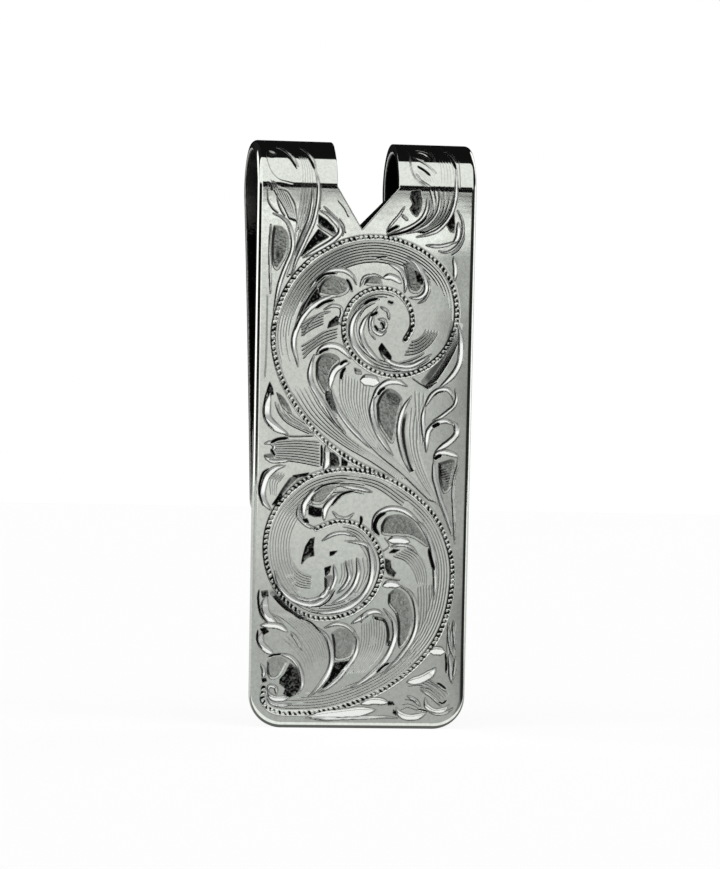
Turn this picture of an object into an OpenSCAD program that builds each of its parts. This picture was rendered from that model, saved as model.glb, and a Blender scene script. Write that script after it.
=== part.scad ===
// Folded spring money clip with a notched bow.
//
// One strip of sheet silver is cut to outline, pierced with a hexagonal window, engraved, and
// folded back on itself across the window. The window leaves two bent arms, the bows, which
// carry the springing. The long front leaf is the engraved face plate and the shorter back leaf
// is the tongue, which presses folded notes against the plate.
//
// Frame: X across the clip, Y from the engraved face towards the tongue, Z up along the clip.
// Z = 0 is the free end of the face plate. The bend axis of the bows runs along X at Y = 0.

/* [Sheet] */
// Thickness of the silver sheet
sheet = 1.0; // [0.8:0.1:1.2]
// Width across the bows, 7/8 inch
strip_w = 22.2; // [20:0.1:25]
// Facets asked of every round face
$fn = 96; // [48:8:128]

/* [Face plate] */
// Height of the whole clip, from the free end of the plate to the top of the bows
clip_h = 58.4; // [54:0.1:64]
// Width of the plate at its free end, a little less than at the bows
plate_end_w = 21.8; // [19.5:0.1:25]
// Radius of the two corners at the free end
corner_r = 3.3; // [1:0.1:5]

/* [Bows] */
// Outside diameter of the bend
bow_d = 9.2; // [8:0.1:10]
// Window edge beside the left bow, across from the centre line
window_left = 3.05; // [2:0.05:4]
// Window edge beside the right bow, across from the centre line
window_right = 3.15; // [2:0.05:4]

/* [Window tips] */
// How far the window's point runs down the face plate
window_point = 4.2; // [2:0.1:6]
// How far the window's point sits left of the centre line, in both leaves
window_point_off = 0.5; // [0:0.05:1]

/* [Tongue] */
// How far the window's point runs down the tongue
tongue_point = 3.6; // [2:0.1:6]
// Lean of the tongue towards the plate where it leaves the bows, in degrees
tongue_lean = 14.5; // [13.5:0.1:15]
// How much of that lean the tongue has lost at its tip, in degrees
tongue_relief = 5.7; // [5:0.1:7]
// Length of the tongue along its own curve
tongue_len = 33.5; // [28:0.1:34]
// Width of the tongue at its tip
tongue_end_w = 21.9; // [19.5:0.1:25]
// Radius of the two corners at the tip
tongue_corner_r = 2.6; // [1:0.1:5]

/* [Hidden] */

bow_r = bow_d / 2;
bow_mid_r = bow_r - sheet / 2;
bend_z = clip_h - bow_r;
plate_front_y = -bow_r;

tongue_curve_r = tongue_len / (tongue_relief * PI / 180);
tongue_top_z = bend_z - bow_mid_r * sin(tongue_lean);
tongue_centre_r = bow_mid_r + tongue_curve_r;
tongue_centre = [tongue_centre_r * cos(tongue_lean), bend_z - tongue_centre_r * sin(tongue_lean)];
tongue_tip_z = tongue_centre[1] + tongue_curve_r * sin(180 - tongue_lean + tongue_relief);

silver = [0.80, 0.81, 0.80];
engraved_silver = [0.70, 0.71, 0.69];
overcut = 2;

// Turns a solid drawn with its profile in XY and its depth in Z so that they lie in YZ and X.
module across_clip() {
    rotate([90, 0, 90]) children();
}

// Turns a flat outline drawn in XY into a slab whose outline is seen from the front.
// The slab runs from y0 to y0 + depth.
module seen_from_front(y0, depth) {
    translate([0, y0 + depth, 0]) rotate([90, 0, 0]) linear_extrude(depth) children();
}

// Outline of one leaf: straight flanks from top_w at top_z to end_w at end_z, and round corners.
module leaf_outline(top_w, top_z, end_w, end_z, r) {
    translate([0, end_z]) {
        polygon([
            [-top_w / 2, top_z - end_z], [-end_w / 2, r], [-end_w / 2 + r, 0],
            [end_w / 2 - r, 0], [end_w / 2, r], [top_w / 2, top_z - end_z]
        ]);
        for (side = [-1, 1]) translate([side * (end_w / 2 - r), r]) circle(r);
    }
}

// The pointed end of the window in one leaf, with its shoulders at shoulder_z and its point
// the given drop below them.
module window_outline(shoulder_z, drop) {
    polygon([
        [-window_left, shoulder_z + overcut], [-window_left, shoulder_z],
        [-window_point_off, shoulder_z - drop],
        [window_right, shoulder_z], [window_right, shoulder_z + overcut]
    ]);
}

// A strip bent round the clip's X axis: mid radius r, from start degrees, through turn degrees.
module bent_strip(r, start, turn, from_x, to_x) {
    across_clip() rotate([0, 0, start]) rotate_extrude(angle = turn)
        translate([r - sheet / 2, from_x]) square([sheet, to_x - from_x]);
}

module face_plate() {
    color(engraved_silver) seen_from_front(plate_front_y, sheet) difference() {
        leaf_outline(strip_w, bend_z, plate_end_w, 0, corner_r);
        window_outline(bend_z, window_point);
    }
}

module bow(from_x, to_x) {
    color(silver) translate([0, 0, bend_z])
        bent_strip(bow_mid_r, -tongue_lean, 180 + tongue_lean, from_x, to_x);
}

module left_bow() {
    bow(-strip_w / 2, -window_left);
}

module right_bow() {
    bow(window_right, strip_w / 2);
}

module spring_tongue() {
    outline_top_z = tongue_top_z + overcut;
    color(silver) intersection() {
        translate([0, tongue_centre[0], tongue_centre[1]])
            bent_strip(tongue_curve_r, 180 - tongue_lean, tongue_relief, -strip_w, strip_w);
        seen_from_front(-bow_r, 2 * bow_d) difference() {
            leaf_outline(strip_w, outline_top_z, tongue_end_w, tongue_tip_z, tongue_corner_r);
            window_outline(tongue_top_z, tongue_point);
        }
    }
}

face_plate();
left_bow();
right_bow();
spring_tongue();
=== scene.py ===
"""Looks of the folded silver money clip: an engraved face plate, two bows and a sprung tongue.

One strip of sheet silver makes the whole clip. It is built here as four closed solids, cut at
the bend lines as the CAD nodes are. Lengths are in millimetres until a mesh is made. Across the
strip x runs left to right, and along it s runs from the free end of the face plate, over the bows.
"""

import math

import bpy
import numpy as np
from mathutils import Matrix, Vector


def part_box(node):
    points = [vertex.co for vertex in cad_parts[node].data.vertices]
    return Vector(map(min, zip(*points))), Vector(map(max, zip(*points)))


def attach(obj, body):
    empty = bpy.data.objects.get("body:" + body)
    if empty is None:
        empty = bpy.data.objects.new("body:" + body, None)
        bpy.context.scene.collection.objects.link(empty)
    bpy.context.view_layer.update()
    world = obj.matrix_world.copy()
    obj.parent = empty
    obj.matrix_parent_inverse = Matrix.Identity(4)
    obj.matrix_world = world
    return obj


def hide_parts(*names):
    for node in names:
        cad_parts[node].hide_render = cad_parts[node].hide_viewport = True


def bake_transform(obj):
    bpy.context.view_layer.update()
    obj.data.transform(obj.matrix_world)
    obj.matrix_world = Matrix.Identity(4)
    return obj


MM = 0.001
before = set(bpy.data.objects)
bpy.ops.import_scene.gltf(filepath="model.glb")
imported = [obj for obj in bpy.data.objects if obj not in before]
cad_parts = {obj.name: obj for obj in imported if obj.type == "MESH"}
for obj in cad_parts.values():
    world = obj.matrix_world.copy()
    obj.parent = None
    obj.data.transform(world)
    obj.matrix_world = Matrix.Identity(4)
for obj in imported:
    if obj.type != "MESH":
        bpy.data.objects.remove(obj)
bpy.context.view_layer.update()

# -------- dimensions from the frame
plate_lo, plate_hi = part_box("face_plate")
bow_r = -plate_lo.y / MM
sheet = (plate_hi.y - plate_lo.y) / MM
bend_s = plate_hi.z / MM
strip_w = 2 * plate_hi.x / MM
window_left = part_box("left_bow")[1].x / MM
window_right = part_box("right_bow")[0].x / MM

# As in part.scad, for what no box in the frame gives. The tip is the point of the window.
PLATE_END_W = 21.8
CORNER_R = 3.3
TIP_X = -0.5
TIP_DROP = 4.2
TONGUE_LEAN = math.radians(14.5)
TONGUE_RELIEF = math.radians(5.7)
TONGUE_LEN = 33.5
TONGUE_TIP_DROP = 3.6
TONGUE_END_W = 21.9
TONGUE_CORNER_R = 2.6

# How far before the bend line the front starts to turn, and how far round the bows the
# engraving goes.
EARLY_BEND = 0.25
ENGRAVED_TURN = math.radians(97)
# Radii of the outer edges, the window's edges and the inside edges.
EDGE_ROUND = 0.6
WINDOW_ROUND = 0.06
BACK_ROUND = 0.2
# Spacing of the grids, and how many steps go round an outer edge and a window's edge.
CELL = 0.06
TONGUE_CELL = 0.3
EDGE_STEPS = 8
WINDOW_STEPS = 3
# Distance of the extra row beside a seam. It keeps the end caps from tilting the shading.
SEAM = 0.002

bow_mid_r = bow_r - sheet / 2
tongue_curve_r = TONGUE_LEN / TONGUE_RELIEF
tongue_centre_r = bow_mid_r + tongue_curve_r
strip_end_s = bend_s + bow_r * (math.pi + TONGUE_LEAN)
engraved_end_s = bend_s + bow_r * ENGRAVED_TURN


def placed(name, data):
    """A new object with that data, in the scene."""
    thing = bpy.data.objects.new(name, data)
    bpy.context.scene.collection.objects.link(thing)
    return thing


def unit(value):
    """The value, kept between 0 and 1."""
    return np.clip(value, 0, 1)


def round_over(d, r):
    """How far a surface has dropped at distance d inside an edge rounded with radius r."""
    inside = np.clip(d, 0, r)
    return r - np.sqrt(np.clip(r * r - (r - inside) ** 2, 0, None))


def arc_steps(r, count):
    """Distances from 0 to r as even steps of a quarter circle give them."""
    return r * (1 - np.cos(np.linspace(0, math.pi / 2, count + 1)))


def leaf_rows(corner_r, corner_steps, tip_s, body_rows, top_s, arm_rows):
    """s of one leaf's rows up to its top, and the number of the row at the window's point."""
    corner = arc_steps(corner_r, corner_steps)
    body = np.linspace(corner_r, tip_s, body_rows)[1:]
    arms = np.linspace(tip_s, top_s - SEAM, arm_rows)[1:]
    return np.concatenate([corner, body, arms, [top_s]]), corner_steps + body_rows - 1


def across(length, cell):
    """Places of the columns as shares of length, close together at both edges."""
    outer = arc_steps(EDGE_ROUND, EDGE_STEPS)
    window = length - arc_steps(WINDOW_ROUND, WINDOW_STEPS)[::-1]
    middle = np.linspace(outer[-1], window[0], int((window[0] - outer[-1]) / cell) + 2)
    return np.concatenate([outer, middle[1:-1], window]) / length


def leaf_grid(s, top_s, tip_s, end_w, corner_r, cell):
    """Grid of one leaf: x of every column at every row, and the drop of its rounded edges."""
    left_share = across(strip_w / 2 + TIP_X, cell)
    right_share = 1 - across(strip_w / 2 - TIP_X, cell)[::-1]
    corner_drop = np.sqrt(np.clip(corner_r**2 - (corner_r - s) ** 2, 0, None))
    widening = unit((s - corner_r) / (top_s - corner_r))
    half = np.where(s < corner_r, end_w / 2 - corner_r + corner_drop,
                    end_w / 2 + (strip_w - end_w) / 2 * widening)[:, None]
    opened = unit((s - tip_s) / (top_s - tip_s))[:, None]
    left_x = TIP_X + (window_left - TIP_X) * opened
    right_x = TIP_X + (window_right - TIP_X) * opened
    x = np.hstack([-half + (left_x + half) * left_share, right_x + (half - right_x) * right_share])
    s_all = np.repeat(s[:, None], x.shape[1], 1)
    flank = np.maximum(half, end_w / 2) - np.abs(x)
    in_x = np.abs(x) - (end_w / 2 - corner_r)
    in_corner = (in_x > 0) & (s_all < corner_r)
    outer_d = np.where(in_corner, corner_r - np.hypot(in_x, corner_r - s_all),
                       np.minimum(flank, s_all))
    window_d = np.empty_like(x)
    count = len(left_share)
    for columns, shoulder in ((slice(0, count), window_left), (slice(count, None), window_right)):
        lean = np.array([shoulder - TIP_X, top_s - tip_s])
        lean /= np.hypot(*lean)
        dx = x[:, columns] - TIP_X
        ds = s_all[:, columns] - tip_s
        along = dx * lean[0] + ds * lean[1]
        beside = np.where(along < 0, np.hypot(dx, ds), np.abs(dx * lean[1] - ds * lean[0]))
        above = np.abs(x[:, columns] - shoulder)
        window_d[:, columns] = np.where(ds > top_s - tip_s, above, beside)
    drop = np.maximum(round_over(outer_d, EDGE_ROUND), round_over(window_d, WINDOW_ROUND))
    edge_d = np.minimum(outer_d, window_d)
    return dict(s=s, x=x, s_all=s_all, half=half, left_x=left_x, right_x=right_x, opened=opened,
                drop=drop, edge_d=edge_d, left_count=count)


def on_strip(x, s, depth):
    """Point of the strip's outside, depth below its skin, from the free end over the bows.

    The bend starts a little early and tightens, so the front quarter of the bow is an ellipse.
    """
    early = EARLY_BEND * (s < bend_s + bow_r * math.pi / 2)
    turn = np.clip((s - bend_s + early) / (bow_r + early * 2 / math.pi), 0, None)
    r = bow_r - depth
    z = np.minimum(s, bend_s - early) + (r + early) * np.sin(turn)
    return np.stack([x, -r * np.cos(turn), z], -1)


def on_tongue(x, s, depth):
    """Point of the tongue's outside, with s from the tongue's free end up to the bows."""
    angle = math.pi - TONGUE_LEAN + (TONGUE_LEN - s) / tongue_curve_r
    rho = tongue_curve_r - sheet / 2 + depth
    centre_y = tongue_centre_r * math.cos(TONGUE_LEAN)
    centre_z = bend_s - tongue_centre_r * math.sin(TONGUE_LEAN)
    return np.stack([x, centre_y + rho * np.cos(angle), centre_z + rho * np.sin(angle)], -1)


# -------- meshes
# How much painted shade each column of a side wall gets, as a share of the inside face's painted
# shade.
WALL_PAINTED_SHADE = np.array([0.0, 0.7, 1.0, 1.0])
# The walls beside the window have their full inset a twelfth of the way up its point.
WALL_GROWTH = 12


def side_wall(edge_x, inward, full):
    """Columns of one side wall, from the rounded skin edge to the inside face."""
    insets = (0, 0.3 * BACK_ROUND, BACK_ROUND, BACK_ROUND + 0.05)
    depths = (BACK_ROUND, 0.3 * BACK_ROUND, 0, 0)
    return [(edge_x + inward * i * full, sheet - d) for i, d in zip(insets, depths)]


def block_rings(place, leaf, rows, left, right):
    """Closed loops round the strip, one per row. left and right say which edge bounds them."""
    part = {k: v[rows] for k, v in leaf.items() if k != "left_count"}
    count = leaf["left_count"]
    first = 0 if left == "flank" else count
    last = None if right == "flank" else count
    columns = list(range(leaf["x"].shape[1]))[first:last]
    whole = left == right
    if whole:
        columns.remove(count)
    half = part["half"]
    near_tip = unit(part["opened"] * WALL_GROWTH)
    edges = {"flank": (half, -half, 1), "window": (part["left_x"], part["right_x"], near_tip)}
    right_wall = side_wall(edges[right][0], -1, edges[right][2])
    left_wall = side_wall(edges[left][1], 1, edges[left][2])
    middle = [(np.full_like(half, TIP_X), sheet)] if whole else []
    ring = right_wall + middle + left_wall[::-1]
    x = np.hstack([part["x"][:, columns]] + [column for column, _ in ring])
    wall = np.hstack([np.full_like(half, d) for _, d in ring])
    wall = np.minimum(wall, sheet - round_over(part["s"], BACK_ROUND)[:, None])
    depth = np.hstack([part["depth"][:, columns], wall])
    points = place(x, np.repeat(part["s"][:, None], x.shape[1], 1), depth)
    # Painted shade: the inside faces and side walls are painted dark through the patina attribute.
    inner = part["inner_dark"][:, None] * np.ones_like(wall)
    inner[:, :4] *= WALL_PAINTED_SHADE
    inner[:, -4:] *= WALL_PAINTED_SHADE[::-1]
    if right == "flank":
        inner[:, 3:4] = part["flank_dark"][:, None]
    if left == "flank":
        inner[:, -4:-3] = part["flank_dark"][:, None]
    return points, {"tarnish": np.hstack([part["tarnish"][:, columns], inner]),
                    "burnish_and_highlight": np.hstack([part["burnish_and_highlight"][:, columns], np.zeros_like(wall)])}


def leaf_blocks(place, leaf, tip_row, end_row=None):
    """One leaf's blocks: whole as far as the window's point, then an arm on each side of it."""
    arms = slice(tip_row, end_row)
    return [(*block_rings(place, leaf, slice(0, tip_row + 1), "flank", "flank"), True, False),
            (*block_rings(place, leaf, arms, "flank", "window"), False, True),
            (*block_rings(place, leaf, arms, "window", "flank"), False, True)]


def loft(points, start_cap, end_cap):
    """Quads between the loops, and an n-gon on each end asked for."""
    rows, columns = points.shape[:2]
    index = np.arange(rows * columns).reshape(rows, columns)
    after = np.roll(index, -1, 1)
    quads = np.stack([index[:-1], after[:-1], after[1:], index[1:]], -1).reshape(-1, 4)
    return quads, [index[0][::-1]] * start_cap + [index[-1]] * end_cap


def solid(name, blocks):
    """One closed mesh from blocks of (points, finish, start_cap, end_cap), welded together."""
    points, quads, caps = [], [], []
    finish = {"tarnish": [], "burnish_and_highlight": []}
    base = 0
    for block_points, block_finish, start_cap, end_cap in blocks:
        block_quads, block_caps = loft(block_points, start_cap, end_cap)
        points.append(block_points.reshape(-1, 3))
        quads.append(block_quads + base)
        caps += [cap + base for cap in block_caps]
        for key in finish:
            finish[key].append(block_finish[key].ravel())
        base += block_points.shape[0] * block_points.shape[1]
    points = np.concatenate(points)
    quads = np.concatenate(quads)
    _, kept, moved = np.unique(np.round(points, 6), axis=0, return_index=True, return_inverse=True)
    moved = moved.ravel()
    quads = moved[quads]
    caps = [moved[cap] for cap in caps]
    flat = (quads == np.roll(quads, -1, 1)).any(1)
    narrow = [list(dict.fromkeys(quad)) for quad in quads[flat].tolist()]
    faces = [np.array(corners) for corners in narrow if len(corners) == 3] + caps
    quads = quads[~flat]
    corner_list = np.concatenate([quads.ravel()] + [f.ravel() for f in faces]).astype(np.int32)
    sizes = np.array([4] * len(quads) + [len(f) for f in faces])
    starts = np.concatenate([[0], np.cumsum(sizes)[:-1]]).astype(np.int32)
    mesh = bpy.data.meshes.new(name)
    mesh.vertices.add(len(kept))
    mesh.vertices.foreach_set("co", (points[kept] * MM).astype(np.float32).ravel())
    mesh.loops.add(len(corner_list))
    mesh.loops.foreach_set("vertex_index", corner_list)
    mesh.polygons.add(len(sizes))
    mesh.polygons.foreach_set("loop_start", starts)
    smooth = np.ones(len(sizes), bool)
    smooth[len(sizes) - len(caps):] = False
    mesh.polygons.foreach_set("use_smooth", smooth)
    mesh.update(calc_edges=True)
    mesh.validate()
    for key, values in finish.items():
        layer = mesh.attributes.new(key, "FLOAT", "POINT")
        layer.data.foreach_set("value", np.concatenate(values)[kept].astype(np.float32))
    return placed(name, mesh)


# -------- engraver's tools
# Where the light comes from, across and along the strip.
LIGHT_X, LIGHT_S = -0.55, 0.83
# The corner where the noise starts and the room it fills.
NOISE_X, NOISE_S = -14, -4
NOISE_WIDTH, NOISE_LENGTH = 30, 90
# Further away than any stroke reaches.
FAR = 9.0
# Painted shade: dark lines on both sides of a bright cut, the stronger one on the side set by the
# light: distance outside it, half width, strength.
CUT_RIMS = ((0.05, 0.055, 0.9), (-0.05, 0.05, 0.6))
HAIRLINE_W = 0.16
FINE_LINE_W = 0.15
HAIRLINE_DEPTH = 0.065
SHADE_PITCH = 0.24
GUIDE_POINTS = 60
CONTOUR_GAP, CONTOUR_PITCH = 0.52, 0.27
# A ground blacker than this keeps the sharp corners of its outline.
CRISP = 0.7
BEAD_PITCH, BEAD_R, BEAD_TRACK = 0.5, 0.17, 0.25


def value_noise(x, s, cell, seed):
    """Smooth seeded noise from 0 to 1, with blobs about one cell across."""
    size = int(NOISE_LENGTH / cell) + 4, int(NOISE_WIDTH / cell) + 4
    grid = np.random.default_rng(seed).random(size)
    u = (x - NOISE_X) / cell
    v = (s - NOISE_S) / cell
    column = u.astype(int)
    row = v.astype(int)
    fu = u - column
    fv = v - row
    fu = fu * fu * (3 - 2 * fu)
    fv = fv * fv * (3 - 2 * fv)
    low = grid[row, column] * (1 - fu) + grid[row, column + 1] * fu
    high = grid[row + 1, column] * (1 - fu) + grid[row + 1, column + 1] * fu
    return low * (1 - fv) + high * fv


def taper(share):
    """0 at both ends of a stroke, and 1 in its middle."""
    return 4 * share * (1 - share)


def through(points, step=0.08):
    """A smooth line through the points (Catmull-Rom), as points about one step apart."""
    padded = np.vstack([2 * points[0] - points[1], points, 2 * points[-1] - points[-2]])
    line = []
    for p0, p1, p2, p3 in zip(padded, padded[1:], padded[2:], padded[3:]):
        count = max(2, int(np.hypot(*(p2 - p1)) / step) + 1)
        t = np.linspace(0, 1, count, endpoint=False)[:, None]
        bend = (2 * p0 - 5 * p1 + 4 * p2 - p3) * t**2 + (3 * p1 - p0 - 3 * p2 + p3) * t**3
        line.append(p1 + 0.5 * ((p2 - p0) * t + bend))
    return np.vstack(line + [points[-1:]])


def evenly(points, count):
    """The smooth line through the points, as that many points spaced evenly along it."""
    line = through(points)
    run = np.concatenate([[0], np.cumsum(np.hypot(*np.diff(line, axis=0).T))])
    at = np.linspace(0, run[-1], count)
    return np.stack([np.interp(at, run, line[:, 0]), np.interp(at, run, line[:, 1])], 1)


def points_of(words):
    """Points from words such as 2.6,24.9."""
    return np.array([word.split(",") for word in words], float)


def read(table):
    """Rows of a stroke table: the leading numbers, then the x,s points in millimetres."""
    for row in table.strip().splitlines():
        words = row.split()
        numbers = [float(word) for word in words if "," not in word]
        yield *numbers, points_of(words[len(numbers):])


def at_least(layer, block, amount):
    """Raises a layer to the amount inside the block."""
    layer[block] = np.maximum(layer[block], amount)


class Engraving:
    """Depth of cut, dark patina and painted shade, and burnish and painted highlight, at every grid
    point of the strip.
    """

    def __init__(self, leaf):
        self.x = leaf["x"]
        self.s = leaf["s_all"]
        self.rows = leaf["s"]
        self.depth, self.tarnish, self.burnish_and_highlight = np.zeros((3, *self.x.shape))

    def patch(self, low, high):
        """The block of the grid between two corners."""
        r0, r1 = np.searchsorted(self.rows, (low[1], high[1]))
        last = len(self.rows) - 1
        found = [np.searchsorted(self.x[min(r, last)], (low[0], high[0]))
                 for r in (r0, (r0 + r1) // 2, r1)]
        c0 = min(f[0] for f in found)
        c1 = max(f[1] for f in found)
        return slice(max(r0 - 1, 0), r1 + 1), slice(max(c0 - 2, 0), c1 + 2)

    def trace(self, line, reach):
        """The block round a line, and its length. For every point of the block also the distance
        to the line, the side, the share along the line and the line's lean to the light.
        """
        block = self.patch(line.min(0) - reach, line.max(0) + reach)
        x, s = self.x[block], self.s[block]
        near = np.full(x.shape, FAR)
        side, share, lean = np.ones_like(x), np.zeros_like(x), np.zeros_like(x)
        lengths = np.hypot(*np.diff(line, axis=0).T)
        run = np.concatenate([[0], np.cumsum(lengths)])
        for i, length in enumerate(lengths):
            if length < 1e-9:
                continue
            start, end = line[i], line[i + 1]
            dx, ds = end - start
            rows, cols = self.patch(np.minimum(start, end) - reach, np.maximum(start, end) + reach)
            r0 = max(rows.start - block[0].start, 0)
            c0 = max(cols.start - block[1].start, 0)
            here = (slice(r0, rows.stop - block[0].start), slice(c0, cols.stop - block[1].start))
            px = x[here] - start[0]
            ps = s[here] - start[1]
            u = unit((px * dx + ps * ds) / length**2)
            d = np.hypot(px - u * dx, ps - u * ds)
            closer = d < near[here]
            lit = (-ds * LIGHT_X + dx * LIGHT_S) / length
            for layer, new in ((near, d), (side, np.sign(dx * ps - ds * px)),
                               (share, (run[i] + u * length) / run[-1]),
                               (lean, np.clip(3 * lit, -1, 1))):
                layer[here] = np.where(closer, new, layer[here])
        return block, near, side, share, lean, run[-1]

    def deepen(self, block, depth):
        at_least(self.depth, block, depth)

    # Paints dark: patina in stippled grounds, painted shade in and beside cuts and between beads.
    def darken(self, block, amount):
        at_least(self.tarnish, block, amount)
        self.burnish_and_highlight[block] *= 1 - unit(amount)

    # Painted highlight, on burnished places.
    def brighten(self, block, amount):
        at_least(self.burnish_and_highlight, block, amount)
        self.tarnish[block] *= 1 - unit(amount)

    def bright_cut(self, width, points):
        """A tilted graver's cut: one wide wall turned to the light and one steep wall. It gets a
        painted highlight, weaker on the bows, and painted shade lines beside it.
        """
        block, near, side, share, lean, _ = self.trace(through(points), width)
        x, s = self.x[block], self.s[block]
        half = width / 2 * np.minimum(1.3, 1.6 * taper(share) ** 0.8) + 1e-6
        a = side * near / half
        valley = 0.6 * lean
        fall = np.where(a > valley, (1 - a) / (1 - valley), (1 + a) / (1 + valley))
        self.deepen(block, 0.34 * half * unit(fall))
        shine = 0.7 + 0.6 * value_noise(x, s, 0.8, 21)
        on_bow = unit((s - bend_s) / 0.6)
        self.brighten(block, (1 - 0.5 * on_bow) * unit(shine * (1.05 - np.abs(a)) * 3))
        out = (near - half) * np.sign(a) * np.sign(lean + 0.01)
        uneven = 0.6 + 0.8 * value_noise(x, s, 0.5, 23)
        for middle, reach, strength in CUT_RIMS:
            line = unit(1 - np.abs(out - middle) / reach)
            self.darken(block, unit(strength * uneven * line) * (near < width))

    def dark_cut(self, width, points):
        """A deep, narrow cut, painted black: painted shade."""
        block, near, _, share, _, _ = self.trace(through(points), width)
        half = width / 2 * np.minimum(1, 1.3 * taper(share) ** 0.5) + 1e-6
        a = near / half
        self.deepen(block, unit(1 - a) * half * 0.9)
        self.darken(block, unit((1.1 - a) * 3))

    def hairline(self, width, line, burnish_and_highlight=0.45, darken=0.08):
        """A fine shading line, cut deeper where it runs across the strip. One wall gets a painted
        highlight and the other painted shade; on the bows the highlight fades and the shade grows.
        """
        block, near, side, share, _, _ = self.trace(line, width)
        steps = np.diff(line, axis=0)
        level = np.abs(steps[:, 0]) / (np.hypot(*steps.T) + 1e-9)
        level = np.interp(share, np.linspace(0, 1, len(level)), level)
        deep = HAIRLINE_DEPTH * (0.75 + 0.65 * level)
        half = width / 2 * np.minimum(1, 2 * taper(share) ** 0.5) + 1e-6
        a = near / half
        self.deepen(block, unit(1 - a) * deep * width)
        lit = side * near / half
        on_bow = unit((self.s[block] - bend_s + 0.3) / 0.6)
        shine = burnish_and_highlight * (1 - 0.85 * on_bow) * unit(1.3 - 1.5 * np.abs(lit + 0.5))
        at_least(self.burnish_and_highlight, block, shine)
        dark = (darken + 0.2 * on_bow) * unit(1.0 - np.abs(lit - 0.5) * 1.3) * (a < 1.3)
        at_least(self.tarnish, block, dark)

    def shade(self, first, last):
        """A family of fine lines between two guide lines, a pitch apart at their middle."""
        a = evenly(first, GUIDE_POINTS)
        b = evenly(last, GUIDE_POINTS)
        gap = np.hypot(*(b - a)[GUIDE_POINTS // 2])
        for k in np.linspace(0, 1, max(3, int(gap / SHADE_PITCH) + 1)):
            self.hairline(HAIRLINE_W, a * (1 - k) + b * k)

    def contours(self, points, start, stop, inward, count):
        """Fine lines beside a stretch of a beaded line, each a little shorter than the last."""
        line = through(points)
        first, last = int(start * len(line)), int(stop * len(line))
        run = np.gradient(line, axis=0)
        normal = np.stack([-run[:, 1], run[:, 0]], 1) / np.hypot(*run.T)[:, None]
        for k in range(count):
            trim = int((last - first) * 0.045 * k)
            stretch = slice(first + (k % 3) * trim // 2, last - trim)
            away = inward * (CONTOUR_GAP + CONTOUR_PITCH * k)
            self.hairline(HAIRLINE_W, (line + normal * away)[stretch])

    def shadow(self, strength, width, points):
        """A soft, shallow dark band."""
        block, near, _, share, _, _ = self.trace(through(points), width)
        soft = unit(1 - near / width) * unit(taper(share) * 2)
        self.deepen(block, 0.05 * soft)
        at_least(self.tarnish, block, strength * soft)

    def pocket(self, level, points):
        """Ground cut away inside a closed outline and stippled: level 0 is clean, 1 is black."""
        if level < CRISP:
            points = through(np.vstack([points, points[:1]]), 0.3)[:-1]
        block = self.patch(points.min(0) - 0.2, points.max(0) + 0.2)
        x, s = self.x[block], self.s[block]
        near = np.full(x.shape, FAR)
        inside = np.zeros(x.shape, bool)
        for (ax, a_s), (bx, b_s) in zip(points, np.roll(points, -1, 0)):
            dx = bx - ax
            ds = b_s - a_s
            u = unit(((x - ax) * dx + (s - a_s) * ds) / (dx * dx + ds * ds))
            near = np.minimum(near, np.hypot(x - ax - u * dx, s - a_s - u * ds))
            crosses = (a_s > s) != (b_s > s)
            inside ^= crosses & (x < ax + (s - a_s) * dx / np.where(ds == 0, 1e-9, ds))
        signed = np.where(inside, near, -near)
        depth = 0.05 + 0.09 * level**2
        grain = 0.15 + 0.5 * level**2
        speck = value_noise(x, s, 0.14, 11) * 0.7 + value_noise(x, s, 0.3, 12) * 0.3
        fill = unit(signed / (0.1 if level > CRISP else 0.22))
        self.deepen(block, fill * (depth + 0.05 * grain * (speck - 0.5)))
        cover = unit((signed + 0.07) / 0.06)
        self.darken(block, cover * unit(level + grain * (speck - 0.55)))

    def beads(self, points):
        """A track of punched beads with painted shade in the gaps between them, painted highlight on
        their tops, one rim with painted highlight and one with painted shade.
        """
        block, near, side, share, _, total = self.trace(through(points), 0.45)
        pitch = total / round(total / BEAD_PITCH)
        phase = (share * total / pitch) % 1 - 0.5
        dome = np.sqrt(unit(1 - (np.hypot(phase * pitch, near) / BEAD_R) ** 2))
        track = unit((BEAD_TRACK - near) / 0.08)
        self.deepen(block, track * (0.07 - 0.06 * dome))
        lean = 0.5 * side * near / pitch
        gap = 0.5 - np.abs((phase + lean + 0.5) % 1 - 0.5)
        strength = value_noise(self.x[block], self.s[block], 0.33, 31)
        nick = unit((0.05 + 0.34 * strength - gap) / 0.05) * unit((0.24 - near) / 0.06)
        self.darken(block, nick * unit(0.25 + 1.4 * strength))
        self.brighten(block, unit(dome * 1.5 - 0.8) * 0.3 * strength * (1 - nick))
        rim = 0.35 * unit(1 - np.abs(near - 0.31) / 0.06)
        at_least(self.burnish_and_highlight, block, rim * (side > 0))
        at_least(self.tarnish, block, rim * (side < 0))


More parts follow.
